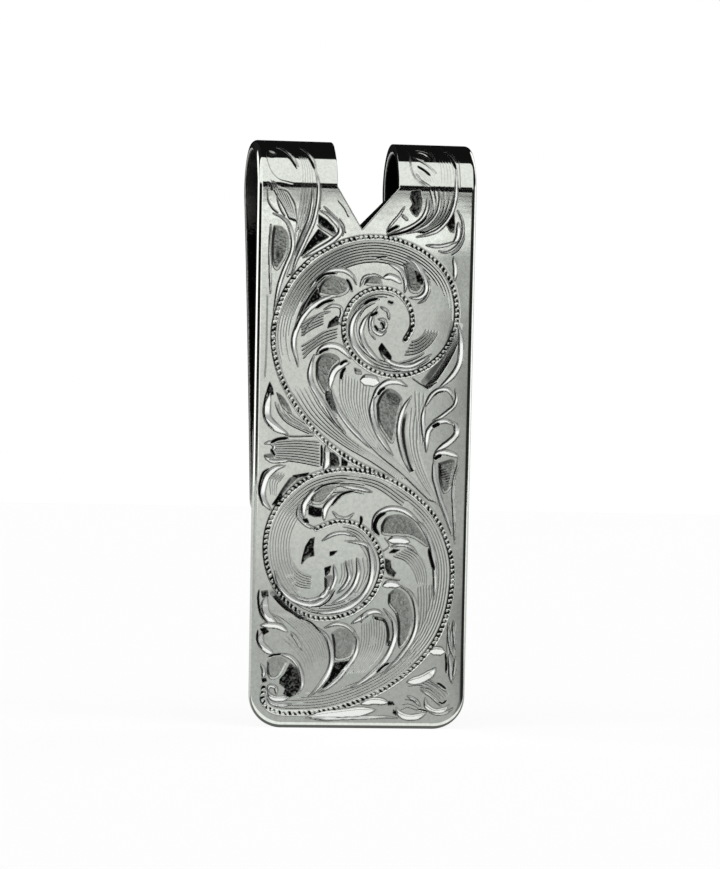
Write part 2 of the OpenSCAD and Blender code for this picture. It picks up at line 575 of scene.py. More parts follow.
# -------- the scroll pattern
# Two scrolls of leaves turn in opposite ways inside beaded lines. Points are x,s in millimetres.
UPPER_BEADS = """
2.6,24.9 -1.2,26.7 -4.7,29.3 -7.5,33 -8.95,36.6 -9.15,40 -7.9,43.6 -5.6,46.4 -2.4,48.25 1,48.85
4.3,48.2 7.1,46.5 8.8,44.1 9.25,41 8.4,38.2 6.4,36.1 3.6,35.1 0.8,35.6 -1.5,37.5 -2.15,40.1 -1.2,42.5
0.9,43.7 3.1,43.45 4.5,41.9 4.75,40.1 4.1,38.7
"""
LOWER_BEADS = """
-9.5,4 -9.5,2.6 -8.3,1.6 -5.5,1.5 -2.6,1.85 0.6,2.95 3.5,4.5 6.2,6.8 8.1,9.5 9.15,13 9.2,17 7.7,20.8
5,23.5 1.8,25.15 -1.9,25.7 -5.4,24.8 -8.2,22.3 -9.5,19.2 -9.3,15.8 -7.6,12.7 -4.8,11 -1.6,11.2
0.9,12.8 2.1,15.3 1.9,17.6 0.2,19.9 -2.2,20.55 -4.5,19.8
"""

# Stippled grounds: level of black, then a closed outline.
POCKETS = """
0.4 -9.4,49.7 -8.6,49.6 -8,48.9 -7.85,48 -8,47 -8.5,46 -9,45.3 -9.5,46 -9.6,48
0.65 -9.1,47.4 -8.6,47.3 -8.4,46.7 -8.7,46.1 -9.1,46.4
0.95 -4.9,49.45 -3.9,48.75 -5.2,47.9 -6.6,46.75 -5.9,48
0.95 -4.9,50.9 -4.9,50.1 -4.2,49.6 -3.15,49.1 -3.4,49.7 -4.1,50.4
0.8 -9.9,53.9 -9.3,53.9 -9.2,53.4 -9.7,53.2
0.5 -9.9,57.7 -9.2,57.4 -9.2,56.8 -9.8,56.7
0.8 4.4,53.5 5.3,53.6 5.5,52.5 5.35,51.6 5,51 4.6,51.3 4.3,51.8 4.6,52.3 4.3,52.9
0.9 8.75,51.4 8.85,50.3 8.75,49.5 8.45,49.6 8.1,50.2 8.4,50.9
0.4 3.7,46.3 4.6,46.4 5.2,45.7 5.7,44.9 5.8,44.1 5.3,43.4 4.5,43.5 4.2,44.2 4,45.2
0.95 4.9,45.6 5.4,45.4 5.8,44.6 5.7,44.2 5.2,44.5
0.35 -0.2,44.1 0.1,44.7 0.8,44.9 1.4,44.7 1.6,44.1 0.7,44
0.35 -4.8,43 -4.7,43.8 -4.2,44.5 -3.4,44.85 -2.6,44.7 -2,44.4 -1.7,43.6 -2.3,43 -3.6,42.8
0.9 -5,43.8 -4.8,43.2 -4.5,42.7 -5.3,42.1 -6.9,40.5 -6.5,41.6 -5.7,42.9
0.85 -3.8,39.7 -3.6,40.3 -2.9,40.9 -2.6,40.6 -2.7,40.1
0.4 -4.9,36.2 -4.5,36.9 -3.7,37.2 -2.9,37 -2.5,36.5 -3.2,35.7 -3.5,34.8 -3.5,33.5 -4,33.2 -4.8,34.6
0.75 -3.9,33.4 -3.5,33.5 -3.2,32.6 -2.5,31.2 -3.2,31.6 -3.8,32.6
0.45 -1,35.8 -0.4,35.6 -0.3,35.2 -0.9,35.3
0.4 1.3,32.2 1.7,33.2 2.5,33.8 3.4,33.4 3.9,32.7 3.6,31.5 3.4,30 3,28.4 2.2,29.2 1.5,30.4
0.65 2.2,33.4 3.2,33.3 3.7,32.7 3.3,32.2 2.5,32.7
0.95 1.7,38.3 2.2,37.7 2.7,37 2.6,36.5 2.1,36.6 1.7,37.1 1.4,37.8
0.45 7.7,26.5 9.3,26.8 9.1,24.8 9,24 8.3,23.5 7.8,24.8
0.8 7.7,26.2 8.4,25.9 8.9,25 8.6,24.6 8,25.2
0.95 -9.5,34.2 -9.75,33.4 -9.6,32.9 -9.1,33 -9.2,33.6
0.55 -8.8,33.2 -8.2,31.8 -7.3,31.1 -7.5,31.8 -8.2,32.8
0.5 -9.9,27 -9.1,27.1 -9,26.6 -9.7,26.5
0.8 -3.3,27.4 -2.9,27.3 -2.5,26.9 -2.35,26.3 -2.5,25.95 -3.25,25.9
0.9 -2.1,26.9 -1.5,26.4 -1.6,26.05 -2.1,26.1
0.5 -5.4,25.15 -7,24.9 -7.6,24.3 -8.2,23.4 -8.6,22.6 -8,22.8 -7.2,23.8 -6.2,24.7
0.95 -5.4,25.3 -5.6,25 -6.6,24.8 -7,25
0.95 -8.1,23.4 -9,22.1 -8.7,22 -8,22.8
0.35 -5.1,22.9 -4.6,23.5 -3.6,24 -2.6,23.9 -2.9,23.4 -3.7,22.5 -4.2,22.2 -5,22.3
0.95 -5.3,22.1 -4.6,21.85 -3.8,21.8 -4,21.4 -4.1,21 -4.7,20.95 -5.3,21.2
0.95 -5.9,20.7 -5.5,20.75 -5.3,20.4 -5.6,20.2
0.4 2,20.2 2.5,21 3.6,21.3 4.7,21 5.6,20.2 6.8,18.2 5.5,18.9 4.5,19.2 2.9,19.2 2.1,19.4
0.95 2.9,17.5 3.3,17.85 3.9,17.8 3.4,17.5
0.85 -4.7,18.9 -5.1,18.75 -5.55,18.05 -5.85,16.95 -5.95,16.25 -5.4,16.9 -4.7,17.1 -4.8,17.9
0.95 -3.6,15.9 -3,16.1 -3.1,15.5 -3.5,15.1
0.45 -3.6,15 -2.8,15.1 -2.9,14.1 -3.5,13.7
0.95 -3.1,17.5 -2.4,17.6 -2.8,17.2 -3.1,17.1
0.75 -9.9,13.5 -9.3,13.6 -9.2,13 -9.8,12.9
0.95 -9.95,9.8 -9.4,9.85 -9.1,9.5 -9.6,9.2
0.3 -9.2,6.6 -8.6,7 -7.9,7 -7.2,6.6 -7.5,5.8 -8,5 -8.8,4.8 -9.2,5.5
0.85 -6.9,6.4 -6.2,5.9 -5.9,5 -5.9,3.9 -6.3,3.3 -7,3 -7.5,3.4 -7.3,3.9 -7.9,4.4 -7.9,4.8 -7.4,5.4
0.95 -9.7,4.9 -9.3,4.9 -9.2,4.6 -9.6,4.5
0.35 -2.8,9.4 -2,9.9 -1.1,9.7 -0.5,9 -0.4,8 -0.9,7 -2.4,6.8 -2.6,8.4
0.95 -2.4,6.5 -1,6.7 -1.3,6 -2.2,5 -3.3,4.1 -3.6,4 -2.9,5
0.95 0.1,11.2 0.4,11.45 0.95,11.35 0.8,11.1 0.4,10.95 0.2,10.5
0.35 2.9,13.4 3.6,13.9 4.5,13.5 5,12.6 5.3,11.5 5.4,10.2 5,9 4.2,8 3.9,8.8 3.9,10.3 3.6,11.5 2.9,12.4
0.8 2.5,16.9 3,16.7 3.1,16 3.6,15.5 3.4,15.1 2.8,15.4 2.5,16
0.9 3.05,2.75 3.5,2.7 3.7,2.4 3.1,2.35
0.9 3.6,1.9 3.95,1.7 3.9,1.35 3.6,1.55
0.3 7.3,8 8.2,8.3 8.5,7.7 7.6,7.5
"""

# Bright cuts: width, then points.
BRIGHT_CUTS = """
0.2 -9.15,58.45 -8.4,57.9 -7.6,56.85 -7,55.7
0.2 -6.7,58.6 -6,57.5 -5.45,56.4 -5.25,55.6
0.24 -5.35,55.6 -5,54 -5,52.5 -5.2,51.2 -5.5,50 -6.1,48.6 -6.8,47 -7.2,46 -7.5,44.6
0.2 -5.6,53.6 -5.6,52 -5.9,50.4 -6.6,48.6 -7.2,46.9
0.26 -9.5,50.9 -8.7,50.6 -8,50 -7.6,49 -7.45,48 -7.6,47 -8.2,45.5 -8.7,44 -9,42.5 -9.25,41
0.16 -9.7,49.8 -9.75,47 -9.65,44.5 -9.6,43
0.18 -5,49.85 -4,49.3 -3.4,48.95 -3,49.1
0.3 -6.4,46.6 -5.2,47.3 -4,48 -3.1,48.7 -2.7,49.3 -2.9,49.9 -3.5,50.5 -4.1,51 -4.8,51.3
0.14 -2.45,48.9 -2.45,49.6 -3,50.4 -3.7,51.1 -4.4,51.7
0.12 4.2,58.9 4.4,57.3 4.4,56.2 4.6,55.2 5.1,54.5 5.9,54
0.12 4.9,55.2 5.5,54.5 6.3,54
0.22 4.9,59.15 5.6,58.85 6.3,58.35 6.75,57.6 6.95,56.8
0.3 5.1,57.9 5.6,57.8 6.1,57.4 6.35,56.9
0.15 4.5,57.3 5.2,56.9 6,56.3 6.9,55.4
0.22 7.1,59.15 7.8,58.85 8.45,58.2 8.85,57.5 9.05,56.8
0.24 9,56 8.98,54.8 8.95,54 8.9,53 8.7,52 8.3,51 7.7,50.2 7,49.6 6,49.2 5,48.95
0.2 7.2,53.7 7.3,52.5 7,51.3 6.2,50.3 5.2,49.7 4,49.3
0.16 6.3,52.6 6.25,51.6 5.8,50.8 5,50.1 4,49.6
0.26 6,52.8 5.98,51.8 5.6,50.9 4.9,50.25 4,49.75 2.9,49.3 2,49.05
0.16 3.7,51.9 3.2,51.1 2.6,50.4 2,49.6
0.16 3.5,51.1 3.8,50.85 4.05,50.6
0.16 9.1,51.7 9.5,51 9.7,50.2 9.65,49.2 9.3,48.4 8.7,47.8 8,47.5 7.3,47.6
0.32 9.2,50.5 9.25,49.6 9.1,48.9 8.7,48.4
0.2 8.9,48.6 8.2,48.3 7.2,48.1 6,48.15
0.3 8.8,47.1 9,45.9 8.95,44.7
0.35 0,42 -0.8,41.3 -1.3,40.3 -1.4,39.2 -1.1,38.2 -0.5,37.3 0.3,36.5 1.5,35.8
0.3 0.5,41.3 -0.1,40.5 -0.4,39.5 -0.2,38.6 0.3,37.7 1,36.9 1.8,36.2
0.22 1.2,41.9 0.6,41 0.45,40.2 0.6,39.4 1,38.7
0.18 1.5,41.9 2.2,41.5 2.4,40.7
0.25 0.8,40.9 0.7,40.2 1,39.5 1.6,39.2 2.1,39.5
0.2 1.3,40.7 1.9,40.6 2.1,40.1 1.8,39.6 1.3,39.7
0.28 1.5,37.6 2.2,36.7 3.2,36.2 4.5,36.1 5.5,36.5 6.7,37.3
0.2 2.3,36.1 3.5,35.75 4.8,35.8 5.7,36.2
0.18 -0.6,43.9 -0.2,44.8 0.8,45.05 1.6,44.8
0.4 1.7,44.8 2.4,44.95 3.1,44.7 3.5,44.3
0.32 4.1,46.9 5,46.3 5.6,45.5 6,44.6 6.1,43.8 5.8,43.2 5.2,42.9 4.4,42.9
0.26 2.2,46.3 3.3,45.7 3.8,45 4,44.2 3.9,43.4
0.16 6.3,44.8 6.4,43.7 6,42.8 5.3,42.35
0.28 -5.9,43.2 -5,44.4 -4,45.2 -2.9,45.5 -2,45.35 -1.3,44.8 -1,44.1
0.36 -6.7,35.8 -6.9,36.8 -7.15,37.8 -7.1,38.9 -6.6,40.2 -5.8,41.4 -4.8,42.2 -3.6,42.8 -2.6,42.9
0.2 -4.2,41.5 -3.4,41.9 -2.6,41.8 -2.4,41.2 -2.6,40.5 -2.4,40
0.16 -6.2,38.9 -5.6,40 -4.6,41 -3.6,41.3
0.4 -4.9,37 -4.4,37.6 -3.6,37.95 -2.7,37.85 -1.9,37.3 -1.4,36.7
0.34 -5.1,37 -5.4,36 -5.5,35 -5.2,34 -4.6,33 -4,32 -3,30.6 -1.8,29.3
0.45 -3.4,33.6 -3.4,34.5 -3,35.5 -2.2,36.1 -1.5,36.3
0.3 -3.3,33.8 -3.1,33 -2.6,31.8 -2,30.8 -1.2,29.8 -0.2,28.8 0.7,27.9
0.8 -0.4,34.6 0.5,34.6 1.5,34.4
0.36 0.8,32.5 1.1,33.1 1.6,33.9 2.4,34.45 3.4,34.5 4.3,34.1
0.36 1,33.2 0.8,31.8 1,30.6 1.5,29.4 2.2,28.3 3,27.2
0.32 4.8,33.1 4.1,32 3.7,30.8 3.6,29.5 3.8,28.3 4.2,27 4.8,25.6
0.28 6.1,31.9 6.4,32.5 6.9,33.3 7.6,33.8 8.4,33.85 8.9,33.4 9.1,32.7
0.25 9.2,33.9 9.4,33.1 9.2,32.3 8.6,31.7 7.8,31.1 7,30.7
0.28 6.2,32.2 6,31 6.1,29.7 6.3,28.4
0.36 6.4,27.6 6.5,29.3 6.9,30.1 7.6,30.6 8.4,30.7 9.2,30.3
0.42 8.7,30.8 9.3,30.3 9.5,29.7 9.3,29.2 8.7,28.6 8,28.1 7.3,27.6
0.36 7.2,26.7 7.5,27.4 8.3,27.6 9.3,27.35 9.75,27.1
0.32 7.2,26.8 7.2,26 7.3,25 7.6,24 7.9,23 8.3,22 8.8,20.7 9.2,19.3
0.16 9.7,27.2 9.6,26.2 9.3,25 9.2,23.5 9.3,22 9.4,20.5 9.5,18.5
0.4 9.45,40.3 9.7,39 9.75,37.7 9.6,36.5 9.1,35.5 8.4,34.7 7.6,34
0.55 -9.4,33.1 -9.7,32 -9.7,30.9 -9.3,30.2 -8.6,29.6 -7.6,29.1
0.18 -8.9,32.2 -8.4,31.2 -7.5,30.4 -6,29.7 -5,29.2
0.22 -9.9,26.9 -9.2,26.4 -8.3,26.4 -7.2,26.55
0.22 -9.9,28.1 -9.3,28.2 -8.9,27.8 -9.2,27.3
0.45 -3.7,28.1 -3.6,27.2 -3.6,26.3 -3.9,25.5
0.44 -7.8,25.95 -8.7,25.7 -9.5,25 -9.9,24 -10,23 -9.7,22.2 -9.1,21.5
0.42 -5.8,20.8 -5.8,22 -5.3,22.9 -4.6,23.6 -3.7,24.1
0.22 -6.3,22.1 -6.4,21.2 -6,20.5 -5.3,20 -4.5,19.8
0.42 -3.75,20.6 -3.7,21.6 -3.3,22.3 -2.6,22.9 -1.9,23.4
0.24 -2.2,24.1 -1.2,23.95 0,23.75 1,23.5
0.2 -2.95,21.5 -2.3,20.95 -1.4,20.9 -0.8,21.35
0.32 1.1,19.7 1.3,20.8 1.8,21.45 2.6,21.85 3.5,21.9 4.4,21.65 5.2,21.1 6,20.3
0.3 5.2,21.1 6,20.3 6.6,19.5 7,18.6 7.3,17.6 7.5,16.2 7.6,14.5 7.5,12.9
0.55 2.7,18.7 3.7,18.8 4.9,18.6
0.2 3,18.1 4,18.3 5,18.1 5.7,17.4
0.34 -8.6,15.5 -8.2,14.3 -7.4,13.2 -6.3,12.5 -5,12.2 -4.2,12.35 -3.3,13 -2.7,13.9
0.2 -7,13.2 -6,12.8 -5,12.7 -4,13 -3.4,13.6
0.4 -4.1,12.9 -3.5,13.3 -3.1,14
0.26 -2.7,16.2 -2.5,15 -2.8,14 -3.3,13.2
0.26 -1.5,16.6 -1.1,15.2 -1.5,14.2 -2.3,13.4
0.32 -0.4,16.9 -0.2,15.5 -0.6,14.2 -1.5,13.1 -2.8,12.35
0.36 -1.6,18.6 0.4,18.3 1,17.4 1.2,16 1,14.5 0.3,13.2 -0.8,12.2 -2,11.7 -3.5,11.45 -5,11.6
0.22 -3.9,18.6 -2.9,19.2 -1.8,19.4 -0.6,19.1
0.55 -9.4,13 -9.55,11.9 -9.1,10.9 -8.3,10.3
0.42 -9.95,10.1 -9,10.15 -8,10 -7.2,9.5
0.46 -9.75,9.4 -9.9,8.5 -9.4,7.8 -8.6,7.3
0.24 -6.9,9.5 -6.2,8.6 -5.7,7.7
0.3 -8.1,7.35 -6.9,7 -6.1,6.2 -5.7,5.2 -5.65,4.2 -6,3.4
0.26 -9.8,6.3 -9.5,5.6 -9.6,4.9
0.24 -9.1,3.6 -8.9,4.1 -8.3,3.95 -8.2,3.3
0.36 -9.1,3.6 -8.6,2.95 -7.8,2.85 -6.9,3
0.22 -9.2,3.1 -8.7,2.45 -7.8,2.2 -6.7,2.35
0.36 -4.3,10 -3.4,9.2 -2.9,8.2 -2.7,7 -2.9,5.8 -3.5,4.7 -4.3,3.7 -5,3.1
0.24 -3.5,9.95 -2.4,10.35 -1.4,10.2 -0.6,9.6 -0.2,8.8
0.32 -0.5,9.6 -0.15,8.8 -0.2,7.8 -0.5,7 -1.2,6 -2,5 -3,4.1 -4,3.5
0.32 -0.8,10.4 0.2,11 0.9,11.5 1.7,11.65 2.5,11.3
0.38 2.4,11.9 3.3,10.9 3.6,10 3.6,9 3.2,7.8 2.7,6.9 2,6 1,5.1 0,4.4 -0.8,4
0.5 2.3,14.2 3.1,14.4 4,14.2
0.32 3.9,14.3 5,13.6 5.6,12.5 5.8,11.2 5.7,9.9 5.2,8.6 4.3,7.3 3.4,6.3 2.3,5.3
0.5 0.3,2.45 1.6,2.75 3.1,2.6
0.75 -5,1.1 -3,1.25 -1,1.5 1.8,1.85
0.2 -5.2,1 -2.5,0.95 0,1.05 2.6,1.15 4,1.05
0.42 3.9,2.1 4.3,1.45 5,1.15 6,1.2 6.9,1.55
0.24 5,3.25 5.8,2.85 6.3,2.3
0.24 6.3,3.95 7.2,3.45 8,2.8 8.4,2.3
0.36 6.8,3.1 7,2.3 7.7,1.8 8.7,1.9 9.2,2.4
0.16 7.1,1.8 8,1.5 8.9,1.6 9.6,2.1
0.6 4.9,4.65 6.2,4.9 7.3,5.5 7.8,6.1
0.16 7.1,4.9 8,4.4 8.9,3.8
0.6 7.2,7.7 7.9,7.8 8.7,7.7
0.3 9.1,7.4 9.3,6.4 9.35,5.5 9.5,4.6
0.18 9.8,7.2 9.75,6 9.6,5
0.18 9,10.6 9.1,9 9.3,8 9.7,7
0.18 9.5,10.8 9.6,9.4 9.75,8
"""

# Dark cuts: width, then points.
DARK_CUTS = """
0.26 -9.15,58.2 -8.45,57.6 -7.65,56.5 -7.15,55.4
0.3 -6.75,58.2 -6.05,57.2 -5.6,56.2 -5.4,55.4
0.28 5,58.35 5.6,58.25 6.2,57.9 6.65,57.1
0.32 8,58.4 8.5,57.5 8.8,56.7 8.97,55.9
0.28 5.05,56.15 5.7,55.7 6.35,55.1
0.28 6.05,51.1 5.7,50.6 4.9,50 4,49.5 3,49.2 2,49
0.32 3.2,50.02 2.6,49.7 2,49.32
0.2 1,46.72 1.5,46.88 2.1,46.93
0.34 -0.15,42.1 0.4,42.5 1.25,42.75
0.34 0.5,41 0.9,41.2 1.25,41.4
0.3 0.95,40.05 1.15,39.75 1.3,39.5
0.26 1.6,40.4 1.8,40.1 1.95,39.7
0.3 2.3,42.5 2.55,42.35 2.8,42.4
0.22 4.7,40.2 4.5,39.4 4,38.6
0.3 -5.1,44.2 -4.2,45 -3,45.15
0.28 -1.95,44.6 -1.6,44 -1.4,43.4
0.32 -5,41.6 -4.2,42.2 -3.2,42.5
0.16 -7.1,39.3 -6.5,40.7 -5.6,41.8
0.34 -4.6,37.1 -4.2,37.45 -3.6,37.65
0.3 -2.5,36 -2.1,36.35 -1.7,36.5
0.3 -2.35,34.6 -2.2,35.3 -1.9,35.8
0.16 -3.9,31.9 -3,30.5 -2,29.4
0.32 1.4,33.1 1.7,33.6 2.15,33.9
0.18 7.1,33.15 7.5,33.5 8.1,33.65
0.44 7,30.05 7.3,30.25 7.75,30.45
0.4 7.25,26.85 7.55,27.1 8,27.3
0.16 -9.75,33.3 -9.95,32.2 -9.95,31 -9.6,30.1 -8.9,29.45
0.34 -9.3,28.15 -8.6,28.55 -7.5,28.72
0.26 -9.2,27.6 -9,27.2 -8.8,26.9
0.18 -4.15,28.1 -4.1,27 -4.15,26
0.22 -9.4,25.7 -9.95,25.2 -10.25,24.2 -10.28,23.2 -9.9,22
0.22 -4.9,23.35 -4,24 -3.2,24.25 -2.2,24.35
0.28 -3,22.1 -2.3,23 -1.6,23.4 -0.7,23.6
0.26 -0.05,21.1 0.02,20.7 -0.1,20.2
0.44 2.5,21.5 1.8,21.1 1.4,20.4 1.4,19.8 1.85,19.2
0.36 6.9,18 7.15,17 7.5,15.8
0.16 -4.9,12 -4,12.1 -3.1,12.7 -2.5,13.7
0.16 -8.9,15.3 -8.5,14.1 -7.6,13
0.2 -10.15,13.7 -10.2,12.6 -9.9,11.2 -9.2,10.3
0.24 -9.1,7 -8.5,7.22 -7.8,7.28
0.2 -10.2,9.7 -10.2,8.6 -9.7,7.7
0.28 3.15,6.55 2.5,6.2 1.85,5.55
0.2 -5.7,10.8 -4.8,10.4 -3.9,9.5
0.2 6,2 6.6,1.9 7.1,1.75
0.28 8,4.6 8.4,4.4 8.9,4
0.16 8.9,5.6 8.9,6.6 8.8,7.6
0.22 8.2,2.7 8.6,2.6 9,2.9
"""

# Soft grey shadows: strength, width, then points.
SHADOWS = """
0.35 0.6 9.3,40.6 8.7,38.2 7.5,36 6.1,34
0.3 0.3 -4.6,33.2 -3.8,31.9 -2.7,30.6
0.3 0.35 4.4,31.4 4.2,29.6 4.5,27.6 5.1,25.6
0.3 0.35 1.3,11.2 2.6,10.9 3.1,9.6 3,8.2
0.25 0.5 -8.9,13.8 -7.6,12.4 -6.2,11.4 -4.6,10.7
0.35 0.3 -5.9,50.2 -6.5,48.7 -7.1,47.2
"""

# Families of shading lines: first guide / last guide.
SHADING = """
-8.3,58.8 -7.1,57.2 -6.6,55.5 -6.8,52 -7.1,49.5 / -6.9,58.8 -6.2,57 -5.7,55.3 -5.7,52 -6.5,49
-9.9,54.4 -9.2,52.9 -8.4,51.6 -7.8,50.4 / -8.3,53.1 -7.9,52.4 -7.5,51.4 -7.2,50.2
-6.9,50.8 -7.2,48.8 -7.3,47 -8,44.6 / -5.9,50.9 -6.4,49.2 -7,47.2 -7.7,44.8
6.6,58.7 7.2,57.6 7.4,56 7.4,54.3 / 8,58.6 8.3,57.6 8.6,56 8.7,54.4
6.2,54 6.6,52.5 6.5,51.3 5.8,50.4 4.6,49.5 / 8.7,54 8.5,52.6 8,51.3 7.2,50.3 5.6,49.4
6,55.3 6.4,54.9 6.6,54.4 / 5,55.6 5.4,55.1 5.9,54.5
5.2,58 5.6,57.8 6,57.4 / 4.8,57.3 5.3,57 5.8,56.7
4,37.2 5.4,37.5 6.6,38.4 7.4,39.6 / 4.7,38.5 5.3,38.7 5.9,39.2 6.2,39.8
-7.3,33.4 -5.2,30.6 -2.2,28.3 1,26.5 3.6,24.8 / -5.6,33.9 -4.2,31.6 -1.6,29 1.4,26.9 4.4,24.9
-6.4,37.8 -5.3,38.5 -4.1,39.3 -2.8,39.7 / -6.2,36.6 -5.6,37.3 -4.4,38.2 -2.8,38.9
-6.5,40 -5.2,40.8 -4.2,41.2 / -6.4,38.9 -5.4,39.6 -4.2,40.2
-2.4,35.4 -2.3,32.8 -1.2,30.4 0.8,28 / 0.6,34 0.5,31.8 1.1,29.6 2.2,27.6
-1.8,31 -0.4,29.3 1.6,27.3 4,25.4 6.8,22.8 / 0.6,30.9 1.4,29.2 2.8,27.2 4.8,25.2 7.4,22.6
4.4,31.6 4.4,29.4 4.8,27.2 5.8,25 7.4,22.6 / 5.9,32.5 5.5,30 5.6,27.6 6.6,24.8 8.1,22
5.2,33.6 5.4,31 5.6,28.6 / 6.1,33.4 6,31 6.1,28.4
-8.9,32.2 -8.4,31 -7.4,30.1 -5.4,29.2 / -7.6,32 -7.2,31.1 -6.2,30.4 -5,29.6
-8.8,28.3 -6.6,28.5 -4.4,28.4 / -8.8,26.6 -6.6,26.4 -4.3,26
-8.6,25.3 -9.2,24.4 -9.1,23 / -7.8,25.2 -8.5,24.1 -8.6,22.9
7.9,26.2 8.6,26.4 9.1,26.6 / 8.2,24 8.6,24.1 9,24.2
-2.2,25.2 1.6,24.6 4.6,22.7 / -2.4,24.6 1.2,24.1 4.2,22.2
-8.2,16.6 -7.4,15 -6.2,14.1 -4.9,13.9 / -6.8,16.4 -6.4,15.7 -5.7,15.2 -4.9,15
-1.9,16.4 -1.8,15.2 -2.1,14.3 / -0.9,16.8 -0.7,15.4 -1.1,14.2
-0.2,16.9 0.1,15.4 -0.5,13.6 -1.8,12.5 / 0.7,17 0.8,15.3 0.2,13.8 -1.4,12.3
3.3,17.2 4.5,16.8 5.4,15.8 5.9,14.5 / 4.7,18 5.8,17.4 6.6,16 6.8,14.2
5.9,14.2 6,12.2 5.8,10 4.7,7.8 / 7.3,14.4 7.4,12 6.9,9.6 5.6,7.4
-9.2,11.6 -7.5,10.7 -5.6,9 -4.5,7 -4.6,5 -5.4,3.4 / -7,11.6 -5.2,10.7 -3.8,9.3 -3,7.3 -3.2,5.5 -4.6,3.4
-7.8,9 -6.6,8 -5.5,6.6 -5.2,5 -5.6,3.6 / -6.6,9.6 -5.7,8.5 -4.8,7 -4.5,5.2 -5,3.8
0.3,10.5 0.3,8.6 -0.2,7 -1.4,5.4 / 2.5,10.8 2.6,9 2.1,7.4 0.6,5.6
1.2,10.9 1.3,9.6 1.1,8.2 / 2.4,10.8 2.4,9.6 2.2,8.4
4.3,1.9 5,2.2 5.8,2 6.6,1.8 / 4.7,3 5.4,2.9 6.1,2.5 6.7,2.1
5,4.3 6.4,4.4 7.6,3.8 8.6,2.9 / 5.6,5.2 7,5 8.2,4.4 9.2,3.5
9,7.4 8.95,9 9.2,10.6 / 9.6,7.2 9.6,9 9.7,10.6
"""

# Fine single lines: points only.
FINE_LINES = """
-4.75,53.9 -4.8,52.5 -4.85,51.5
-10,58 -10.15,57 -10.05,56 -9.7,55 -9,54.3 -8.2,54.05 -7.5,53.9
-10.1,54 -10.1,53 -10,52.2 -9.6,51.5 -9,51
-9.1,53.4 -8.2,53.2 -7.7,52.6 -7.3,51.8 -7.1,50
-9.15,53.2 -9.05,52.2 -8.7,51.3 -8.3,50.7
9.3,57 9.3,55.5 9.3,53.9
9.3,51.5 9.75,50.4 9.8,49 9.3,47.9 8.6,47.3
-9.9,43 -9.9,37 -10,34.5
-2.2,49.2 -2.3,49.9 -2.8,50.6
-1.9,50.8 -2.3,51.6 -3,52.4
4.9,34.9 6.2,34.2 7.4,34.6
-8.1,29.2 -7.2,28.9 -5,29
-9.2,11.3 -8.4,11 -7.6,10.2
2.5,15 3.2,14.9 4.1,14.8
2.2,17.6 2.9,18.2 2.4,19
7.9,34.3 8.9,35.2 9.4,36.4
6.3,4.2 7.4,4 8.5,3.2
"""

# Lines that follow a beaded line: its points, the stretch of it, the side, and how many lines.
CONTOUR_LINES = (
    (UPPER_BEADS, 0.21, 0.62, -1, 8),
    (UPPER_BEADS, 0.68, 0.93, -1, 4),
    (LOWER_BEADS, 0.5, 0.8, 1, 8),
    (LOWER_BEADS, 0.02, 0.47, 1, 6),
    (LOWER_BEADS, 0.76, 0.97, 1, 4),
)


def engrave(leaf):
    """Cuts the whole pattern into the skin of the strip."""
    work = Engraving(leaf)
    for row in read(POCKETS):
        work.pocket(*row)
    for row in read(SHADOWS):
        work.shadow(*row)
    for row in SHADING.strip().splitlines():
        work.shade(*[points_of(guide.split()) for guide in row.split("/")])
    for table, *where in CONTOUR_LINES:
        work.contours(points_of(table.split()), *where)
    for line, in read(FINE_LINES):
        work.hairline(FINE_LINE_W, through(line), burnish_and_highlight=0.3, darken=0.6)
    for table in (UPPER_BEADS, LOWER_BEADS):
        work.beads(points_of(table.split()))
    for row in read(BRIGHT_CUTS):
        work.bright_cut(*row)
    for row in read(DARK_CUTS):
        work.dark_cut(*row)
    return work


# -------- rows, columns and pieces
CORNER_STEPS, REAR_ROWS = 79, 42
TONGUE_CORNER_STEPS, TONGUE_BODY_ROWS, TONGUE_ARM_ROWS = 39, 90, 30
# The engraving stops this far from an edge, and is whole a little further in.
BORDER, BORDER_FADE = 0.1, 0.2
# The hand-worked face is a little uneven, and lies just inside the CAD's face.
SWELL, SKIN = 0.004, 0.002

tip_s = bend_s - TIP_DROP
plate_rows, tip_row = leaf_rows(CORNER_R, CORNER_STEPS, tip_s, int((tip_s - CORNER_R) / CELL) + 1,
                                bend_s, int(TIP_DROP / CELL) + 1)
bend_row = len(plate_rows) - 1
bow_rows = np.linspace(bend_s + SEAM, engraved_end_s, int((engraved_end_s - bend_s) / CELL) + 1)
rear_rows = np.linspace(engraved_end_s, strip_end_s - SEAM, REAR_ROWS)[1:]
rows = np.concatenate([plate_rows, bow_rows, rear_rows, [strip_end_s]])

strip = leaf_grid(rows, bend_s, tip_s, PLATE_END_W, CORNER_R, CELL)
pattern = engrave(strip)
clear_of_edge = unit((strip["edge_d"] - BORDER) / BORDER_FADE)
swell = SWELL * (value_noise(strip["x"], strip["s_all"], 2.6, 3) - 0.5)
strip["depth"] = strip["drop"] + pattern.depth * clear_of_edge + swell + SKIN
strip["tarnish"] = pattern.tarnish * clear_of_edge
strip["burnish_and_highlight"] = pattern.burnish_and_highlight * clear_of_edge
# Painted shade on the inside faces: none up to 18 mm along the strip, full from 24 mm on. The side
# walls get nearly all of it, and half past the engraving.
strip["inner_dark"] = unit((rows - 18) / 6)
strip["flank_dark"] = strip["inner_dark"] * np.where(rows > engraved_end_s, 0.5, 0.95)

plate = solid("engraved_plate", leaf_blocks(on_strip, strip, tip_row, bend_row + 1))
bows = []
for name, left, right in (("left_bow_bend", "flank", "window"),
                          ("right_bow_bend", "window", "flank")):
    rings = block_rings(on_strip, strip, slice(bend_row, None), left, right)
    bows.append(solid(name, [(*rings, True, True)]))

